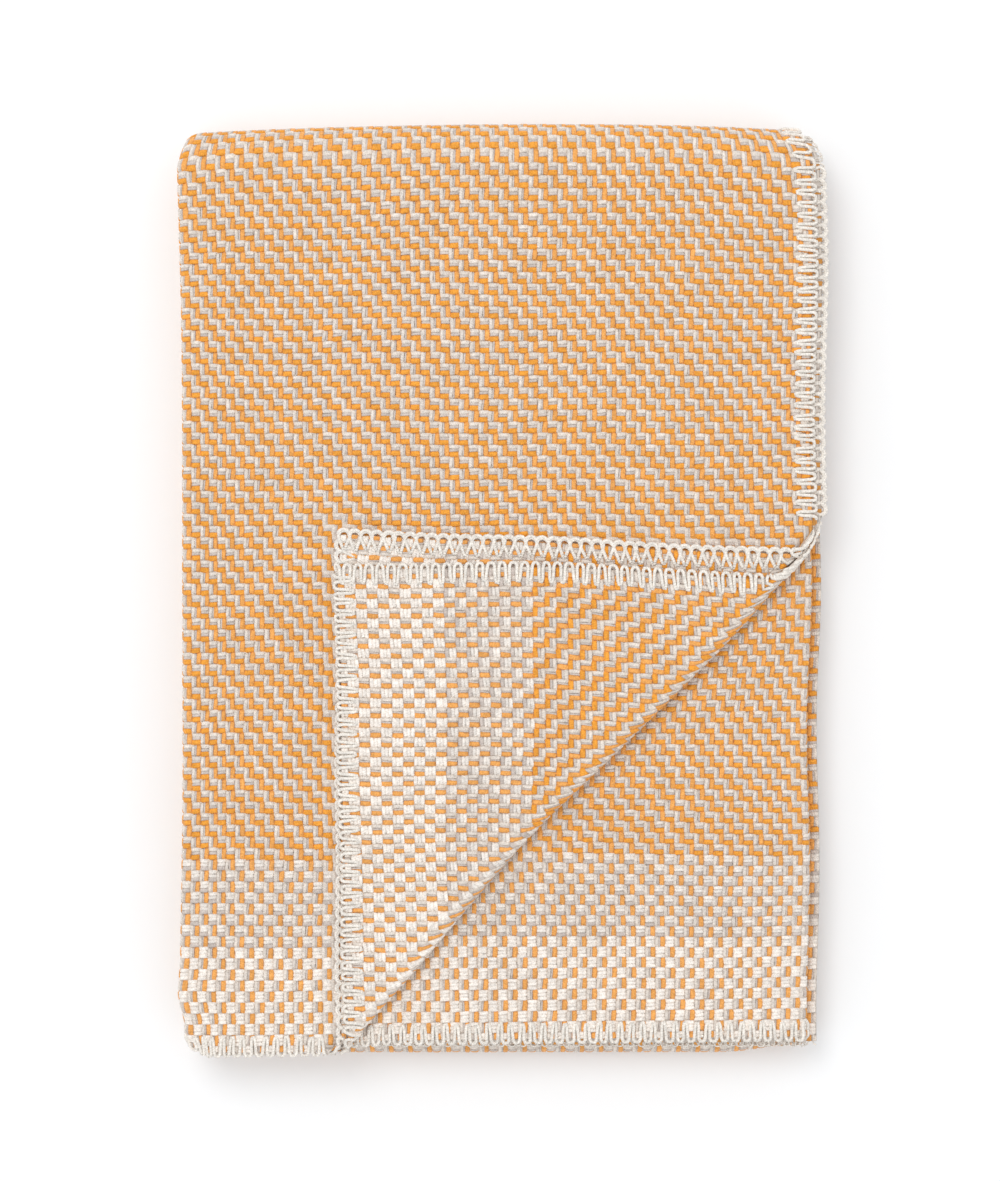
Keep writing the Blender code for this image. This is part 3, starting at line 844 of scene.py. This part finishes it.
class THROW_OT_cloth(bpy.types.Operator):
    """Builds the folded cloth's body, the two turned layers' bodies and the two crease rolls."""

    bl_idname = "throw.cloth"
    bl_label = "Cloth"

    def execute(self, context):
        u = sheet_marks(U_MARKS, (30, 8, 30, 8, 30, 12, 30))[:, None]
        base = sheet_marks(V_MARKS, (48, 18, 30, 12, 30, 12, 30))[None]
        first, bend = crease_start(u[:, 0])[:, None], V_MARKS[1]
        v = np.where(base < bend, first + np.clip(base / bend, 0, 1) * (bend - first), base)
        cloth = cloth_slab("folded_cloth", stack_place, np.broadcast_to(u, v.shape), v)
        ride_as(cloth, "folded_stack", (
            "cloth_strip_1", "cloth_strip_2", "cloth_strip_3", "cloth_strip_4",
            "left_inner_fold", "left_outer_fold", "right_fold"))
        for side in (4, 1):
            self.turned_layer(side)
            self.crease_roll(side)
        return {"FINISHED"}

    def turned_layer(self, side):
        """A grid whose lines run from the stitched end to the crease, shorter towards its foot."""
        corner, down, right = corner_axes(side)
        start = (corner - CREASE_TOP) @ CREASE_OUTWARD
        per_down, per_right = down @ CREASE_OUTWARD, right @ CREASE_OUTWARD
        away = np.linspace(0, -start / per_down - 0.001, 40)
        wide = -(start + away * per_down) / per_right
        v = wide[:, None] * np.linspace(0, 1, 30)[None]
        u = np.broadcast_to((away if side == 1 else CLOTH_WIDTH - away)[:, None], v.shape)
        if side == 4:
            u, v = u[::-1], v[::-1]
        layer = cloth_slab(f"turned_cloth_{side}", partial(corner_place, side), u, v)
        ride_as(layer, "turned_corner", (f"corner_cloth_{side}",))

    def crease_roll(self, side):
        """Half a turn round the crease, between the layer's two edges."""
        radius = CORNERS[side][3]
        (top, top_slope, _), (foot, foot_slope, _) = crease_edges(side)
        past = (np.linspace(0, math.pi * radius, 13))[:, None]
        first, last = top + top_slope * past, foot + foot_slope * past
        along = first + (last - first) * np.linspace(0, 1, 70)[None]
        past = past + 0 * along
        plan = CREASE_TOP + along[..., None] * CREASE_DIRECTION + past[..., None] * CREASE_OUTWARD
        corner, down, right = corner_axes(side)
        away, v = np.moveaxis((plan - corner) @ np.linalg.inv(np.array([down, right])), -1, 0)
        if side == 1:
            away, v = away[::-1], v[::-1]
        u = away if side == 1 else CLOTH_WIDTH - away
        end = "outer" if side == 1 else "inner"
        roll = cloth_slab(f"crease_roll_{end}", partial(corner_place, side), u, v)
        crease_blend(roll)
        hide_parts(f"crease_{end}")


def crease_blend(piece):
    """Bakes the piece's transform into its mesh; the piece is attached to no body."""
    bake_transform(piece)


def under_flap(u, v):
    """True where the turned corner lies over the top layer."""
    points = stack_place(u, v, 0.0)
    corner, down, right = corner_axes(4)
    away = (points[..., :2] - corner) @ np.linalg.inv(np.array([down, right]))
    return (away[..., 0] > -0.009) & (away[..., 1] > -0.009) & (past_crease(points) < 0.003)


def stop_before_crease(points):
    """Points past the crease are brought back to it."""
    extra = np.clip(past_crease(points) + 0.0004, 0, None)
    out = points.copy()
    out[..., :2] -= extra[..., None] * CREASE_OUTWARD
    return out


TOP_START = U_MARKS[5] + 0.0008  # where the top layer's raised yarns begin, on the left folds
EASED = 0.8  # the yarns' relief, as a share of its full height, on folds and along open edges
FREE_REACH = 0.27  # how far along the sheet the crease can cut a top yarn


class THROW_OT_top_yarns(bpy.types.Operator):
    """Builds the raised yarns of the top layer, over the long fold at the head and the left folds."""

    bl_idname = "throw.top_yarns"
    bl_label = "Top yarns"

    def execute(self, context):
        cell = cells(TOP_START, CLOTH_WIDTH, -1, V_MARKS[2])
        u, v = middles(cell)
        top = (v < V_MARKS[1]) & (past_crease(stack_place(u, v, 0.0)) < -0.0015)
        free = top & ~under_flap(u, v)
        bounds = (-1, 0.12, FREE_REACH, 0.385, V_MARKS[1])
        for number, (start, stop) in enumerate(zip(bounds, bounds[1:])):
            woven(f"top_yarns_{number + 1}", cell[:, free & (v >= start) & (v < stop)],
                  stop_at=stop_before_crease if start < FREE_REACH else None)
        woven("top_yarns_covered", cell[:, top & ~free], steps=3, relief=HIDDEN_RELIEF,
              stop_at=stop_before_crease)
        woven("head_fold_yarns", cell[:, v >= V_MARKS[1]], relief=sizes().relief * EASED)
        return {"FINISHED"}


class THROW_OT_side_yarns(bpy.types.Operator):
    """Builds the raised yarns of the left folds, the third layer, the foot fold and the underside."""

    bl_idname = "throw.side_yarns"
    bl_label = "Side and underside yarns"

    def execute(self, context):
        eased = sizes().relief * EASED
        cell = cells(TOP_START, CLOTH_WIDTH, V_MARKS[2], V_MARKS[4])
        v = middles(cell)[1]
        at_fold = np.abs(v - (V_MARKS[3] + V_MARKS[4]) / 2) < 0.014
        halves = (V_MARKS[2], (V_MARKS[2] + V_MARKS[3]) / 2, V_MARKS[4])
        for number, (start, stop) in enumerate(zip(halves, halves[1:])):
            here = (v >= start) & (v < stop)
            woven(f"underside_yarns_{number + 1}", cell[:, here], steps=3,
                  relief=np.where(at_fold, eased, HIDDEN_RELIEF)[here])
        woven("left_fold_yarns", cells(TOP_START, U_MARKS[6] + 0.004, V_MARKS[4], CLOTH_LENGTH),
              relief=HIDDEN_RELIEF)
        woven("second_side_yarns", cells(0, 0.016, V_MARKS[6], CLOTH_LENGTH), relief=eased)
        cell = cells(U_MARKS[2], U_MARKS[4], -1, 0.30)
        past = past_crease(stack_place(*middles(cell), 0.0))
        seen = past > -0.007
        woven("third_layer_yarns", cell[:, seen],
              relief=np.where(past < 0.008, HIDDEN_RELIEF, sizes().relief)[seen])
        return {"FINISHED"}


CORNER_REACH = 0.31  # how far from its corner the turned part of the sheet can reach


class THROW_OT_corner_yarns(bpy.types.Operator):
    """Builds the raised yarns of the turned corner, on both its layers, and of the crease."""

    bl_idname = "throw.corner_yarns"
    bl_label = "Corner yarns"

    def execute(self, context):
        upper, lower = partial(corner_place, 1), partial(corner_place, 4)
        cell = cells(0, CORNER_REACH, -1, CORNER_REACH)
        past = corner_plan(1, *middles(cell))[1]
        woven("corner_yarns_upper", cell[:, past < -0.0045], upper, "cloth_banded", "turned_corner")
        bound = (past >= -0.0045) & (past < 0.90 * math.pi * WIDE_RADIUS)
        piece = woven("crease_yarns", cell[:, bound], upper, body=None, relief=sizes().relief * 0.75)
        crease_blend(piece)
        cell = cells(CLOTH_WIDTH - CORNER_REACH, CLOTH_WIDTH, -1, CORNER_REACH)
        u, v = middles(cell)
        _, past, along = corner_plan(4, u, v)
        bound = (past >= -0.003) & (past < 0.9 * math.pi * TIGHT_RADIUS)
        bound &= (along < 0.07) | (along > CREASE_LENGTH - 0.05)
        piece = woven("crease_yarns_inner", cell[:, bound], lower, body=None, face=-1,
                      relief=HIDDEN_RELIEF)
        crease_blend(piece)
        flat = past < -0.0015
        how = {"slot": "cloth_banded", "body": "turned_corner", "stop_at": stop_before_crease}
        woven("corner_yarns_lower", cell[:, flat], lower, steps=3, relief=HIDDEN_RELIEF, **how)
        edge = flat & ((CLOTH_WIDTH - u < 0.026) | (v < 0.010))
        relief = np.where(CLOTH_WIDTH - u < 0.016, sizes().relief * EASED, HIDDEN_RELIEF)
        woven("corner_yarns_reverse", cell[:, edge], lower, face=-1, relief=relief[edge], **how)
        return {"FINISHED"}


# One stitch in units of the pitch along the edge, the depth inwards and the height: on the face
# a pair of legs under an arch, and on the reverse a pointed loop whose legs cross its neighbours'.
FACE_STITCH = np.array([
    (0.00, -0.26, 0.60), (0.18, -0.23, 0.90), (0.29, -0.08, 1.15), (0.31, 0.20, 1.25),
    (0.33, 0.66, 1.25), (0.41, 0.92, 0.85), (0.54, 0.96, 0.75), (0.64, 0.74, 1.15),
    (0.67, 0.25, 1.25), (0.70, -0.06, 1.15), (0.82, -0.23, 0.90),
])
REVERSE_STITCH = np.array([
    (-0.06, 0.02, 1.10), (0.06, -0.16, 1.0), (0.28, -0.27, 0.95), (0.52, -0.30, 0.90),
    (0.76, -0.26, 0.95), (0.98, -0.14, 1.15), (1.08, 0.04, 1.35), (1.00, 0.24, 1.45),
    (0.80, 0.58, 1.30), (0.62, 0.94, 0.65), (0.48, 0.96, 0.60), (0.34, 0.70, 1.10),
    (0.12, 0.34, 1.10), (0.00, 0.08, 1.0), (0.22, -0.15, 0.70), (0.55, -0.22, 0.50),
    (0.84, -0.14, 0.70),
])
FRONT, BACK = (FACE_STITCH, 1), (REVERSE_STITCH, -1)  # the stitch seen, and the side it is on
LOOSE, PRESSED, HIDDEN = (False, False), (True, False), (True, True)  # pressed flat, thin yarn


def stitched(name, start, stop, put, look, how=LOOSE, stretch=1.0):
    """Blanket stitches from start to stop along an edge, as one long tube.

    The template repeats at each pitch with small chances of depth, lean and spacing. put turns
    distance along the edge, depth inwards and height into a place, and stretch says how much
    longer the edge is there than the distance. Stitches under another layer lie pressed."""
    s = sizes()
    (shape, face), (pressed, thin) = look, how
    count = max(2, int(round((stop - start) * stretch / s.stitch_pitch)))
    pitch = (stop - start) / count
    chance = np.random.default_rng(SEED + count).uniform(-1, 1, (4, count, 1))
    along, inwards, rise = (shape[None, :, k] for k in range(3))
    deep = np.clip(inwards, 0, None)
    along = (np.arange(count)[:, None] + along + 0.11 * chance[0] * deep + 0.06 * chance[1]) * pitch
    depth = inwards * s.stitch_depth * (1 + 0.08 * chance[2] * (deep > 0.5))
    radius = s.stitch_yarn / 2 * (0.5 if thin else 1.0)
    rest = HALF_CORE - 0.00015 if pressed else HALF_CORE + s.relief * 0.5
    lift = radius * (0.3 if pressed else 0.45)
    height = face * (rise * lift + rest * np.clip(rise, 0, 1) + 0 * along)
    points = put(start + along.ravel(), depth.ravel(), height.ravel())
    above = put(start + along.ravel(), depth.ravel(), height.ravel() + face * 0.001)
    up = (above - points) / np.linalg.norm(above - points, axis=1, keepdims=True)
    return tube(name, points, radius, up, material("stitching_yarn"),
                tuple(colours().stitching), 4 if thin else 6)


class THROW_OT_stack_stitches(bpy.types.Operator):
    """Builds the blanket stitches along the stack's two sides and two ends."""

    bl_idname = "throw.stack_stitches"
    bl_label = "Stack stitches"

    def execute(self, context):
        def top_side(t, d, h):
            return stack_place(CLOTH_WIDTH - d, t, h)

        def second_side(t, d, h):
            return stack_place(d, t, h)

        def upper_end(t, d, h):
            return stack_place(t, d, h)

        def upper_end_inner(t, d, h):
            return stack_place(t, d + 0.003, h)

        def lower_end(t, d, h):
            return stack_place(t, CLOTH_LENGTH - d, h)

        above = CREASE_TOP[1] - UPPER_END_Y - EDGE_INSET
        turn, pack_2 = V_MARKS[2] - 0.01, V_MARKS[6] - 0.006
        foot_left = CREASE_FOOT[0] - LEFT_FOLD_X + 0.002
        low, high, left = U_MARKS[2] - 0.004, U_MARKS[3] + 0.004, U_MARKS[5] + 0.004
        made = [
            ("top_side_stitches", above + 0.001, turn, top_side, FRONT, LOOSE, "side_edging_4"),
            ("top_side_stitches_below", turn, CLOTH_LENGTH, top_side, FRONT, HIDDEN, None),
            ("second_side_stitches", above + 0.004, pack_2, second_side, FRONT, HIDDEN, "side_edging_1"),
            ("second_side_reverse", above + 0.004, V_MARKS[1], second_side, BACK, PRESSED, None),
            ("second_side_reverse_below", V_MARKS[1], pack_2, second_side, (FACE_STITCH, -1), HIDDEN, None),
            ("upper_end_stitches", U_MARKS[1] - foot_left, low, upper_end, FRONT, HIDDEN, "end_edging_upper"),
            ("upper_end_stitches_third", low, high, upper_end, FRONT, LOOSE, None),
            ("upper_end_stitches_fourth", high, left, upper_end_inner, FRONT, HIDDEN, None),
            ("upper_end_stitches_top", left, U_MARKS[6] + foot_left, upper_end, FRONT, LOOSE, None),
            ("lower_end_stitches", 0, CLOTH_WIDTH, lower_end, FRONT, HIDDEN, "end_edging_lower"),
        ]
        for *stitching, node in made:
            ride_as(stitched(*stitching), "folded_stack", (node,) if node else ())
        return {"FINISHED"}


class THROW_OT_corner_stitches(bpy.types.Operator):
    """Builds the blanket stitches along the turned corner's sides and ends, and round the crease."""

    bl_idname = "throw.corner_stitches"
    bl_label = "Corner stitches"

    def execute(self, context):
        for side, look in ((1, FRONT), (4, BACK)):
            corner, down, right = corner_axes(side)
            start, radius = (corner - CREASE_TOP) @ CREASE_OUTWARD, CORNERS[side][3]

            def along_side(t, d, h, side=side):
                return corner_place(side, d if side == 1 else CLOTH_WIDTH - d, t, h)

            def along_end(t, d, h, side=side):
                return corner_place(side, t if side == 1 else CLOTH_WIDTH - t, d, h)

            for edge, put, way, first, how, stretch in (
                    ("side", along_side, right, -0.001, LOOSE, 2.2),
                    ("end", along_end, down, 0.003, PRESSED if side == 4 else LOOSE, 1.0)):
                per_way = way @ CREASE_OUTWARD
                split, last = -start / per_way - 0.001, -start / per_way + math.pi * radius / per_way
                piece = stitched(f"corner_{edge}_stitches_{side}", first, split, put, look, how)
                ride_as(piece, "turned_corner", (f"corner_{edge}_edging_{side}",))
                piece = stitched(f"crease_{edge}_stitches_{side}", split, last, put, look, how, stretch)
                crease_blend(piece)
        return {"FINISHED"}


class THROW_OT_declare(bpy.types.Operator):
    """Does nothing: it returns at once."""

    bl_idname = "throw.declare"
    bl_label = "Declare the sheet"

    def execute(self, context):
        return {"FINISHED"}


LAMP_PLACE = (-0.6, 0.95, 2.4)
LENS, SENSOR = 85, 36  # both in millimetres
STACK_HEIGHT, SEEN_LENGTH = 0.046, 0.640  # the camera sees this length of the plane at this height


class THROW_OT_stage(bpy.types.Operator):
    """Builds the pale floor, the soft light and the camera straight above."""

    bl_idname = "throw.stage"
    bl_label = "Stage"

    def execute(self, context):
        scene = context.scene
        edge = np.linspace(-4, 4, 9)
        x, y = np.meshgrid(edge, edge, indexing="ij")
        points = np.stack([x, y, np.full_like(x, -0.0002)], -1)
        mesh = bpy.data.meshes.new("floor")
        mesh.from_pydata(points.reshape(-1, 3).tolist(), [], grid_quads(9, 9, 0, True).tolist())
        n = Nodes("pale_floor")
        n.set(Base_Color=(0.96, 0.96, 0.96, 1), Roughness=0.9, Specular_IOR_Level=0.1)
        mesh.materials.append(n.material)
        self.stand("floor", mesh)
        scene.world = bpy.data.worlds.new("soft_room")
        scene.world.use_nodes = True
        room = scene.world.node_tree.nodes["Background"].inputs
        room["Color"].default_value, room["Strength"].default_value = (0.965, 0.982, 1.0, 1), 0.93
        light = bpy.data.lights.new("key_light", "AREA")
        light.shape, light.size, light.energy = "DISK", 1.3, 18
        way = np.array([0, 0, 0.03]) - np.array(LAMP_PLACE)
        tilt = math.acos(-way[2] / float(np.linalg.norm(way)))
        self.stand("key_light", light, LAMP_PLACE, (tilt, 0.0, math.atan2(way[1], way[0]) - QUARTER))
        scene.view_settings.view_transform = "Standard"
        scene.view_settings.look = "None"
        camera = bpy.data.cameras.new("overhead")
        camera.lens, camera.sensor_width = LENS, SENSOR
        height = STACK_HEIGHT + SEEN_LENGTH / 2 / (SENSOR / 2 / LENS)
        scene.camera = self.stand("overhead", camera, (-0.0008, 0.0008, height))
        return {"FINISHED"}

    def stand(self, name, data, place=(0, 0, 0), turn=(0, 0, 0)):
        holder = bpy.data.objects.new(name, data)
        holder.location, holder.rotation_euler = place, turn
        bpy.context.scene.collection.objects.link(holder)
        return holder


class THROW_PT_panel(bpy.types.Panel):
    """Lists the sizes, the colours and the operators."""

    bl_idname = "THROW_PT_panel"
    bl_label = "Folded Throw"
    bl_space_type = "VIEW_3D"
    bl_region_type = "UI"
    bl_category = "Throw"

    def draw(self, context):
        for group in (context.scene.throw_sizes, context.scene.throw_colours):
            for name in group.__annotations__:
                self.layout.prop(group, name)
        for step in STEPS:
            self.layout.operator(step.bl_idname)


STEPS = (
    THROW_OT_stage,
    THROW_OT_cloth,
    THROW_OT_top_yarns,
    THROW_OT_side_yarns,
    THROW_OT_corner_yarns,
    THROW_OT_stack_stitches,
    THROW_OT_corner_stitches,
    THROW_OT_declare,
)
CLASSES = (ThrowSizes, ThrowColours, *STEPS, THROW_PT_panel)


def register():
    for item in CLASSES:
        bpy.utils.register_class(item)
    bpy.types.Scene.throw_sizes = bpy.props.PointerProperty(type=ThrowSizes)
    bpy.types.Scene.throw_colours = bpy.props.PointerProperty(type=ThrowColours)


def unregister():
    del bpy.types.Scene.throw_sizes
    del bpy.types.Scene.throw_colours
    for item in reversed(CLASSES):
        bpy.utils.unregister_class(item)


def main():
    register()
    for step in STEPS:
        group, name = step.bl_idname.split(".")
        getattr(getattr(bpy.ops, group), name)()


if __name__ == "__main__":
    main()
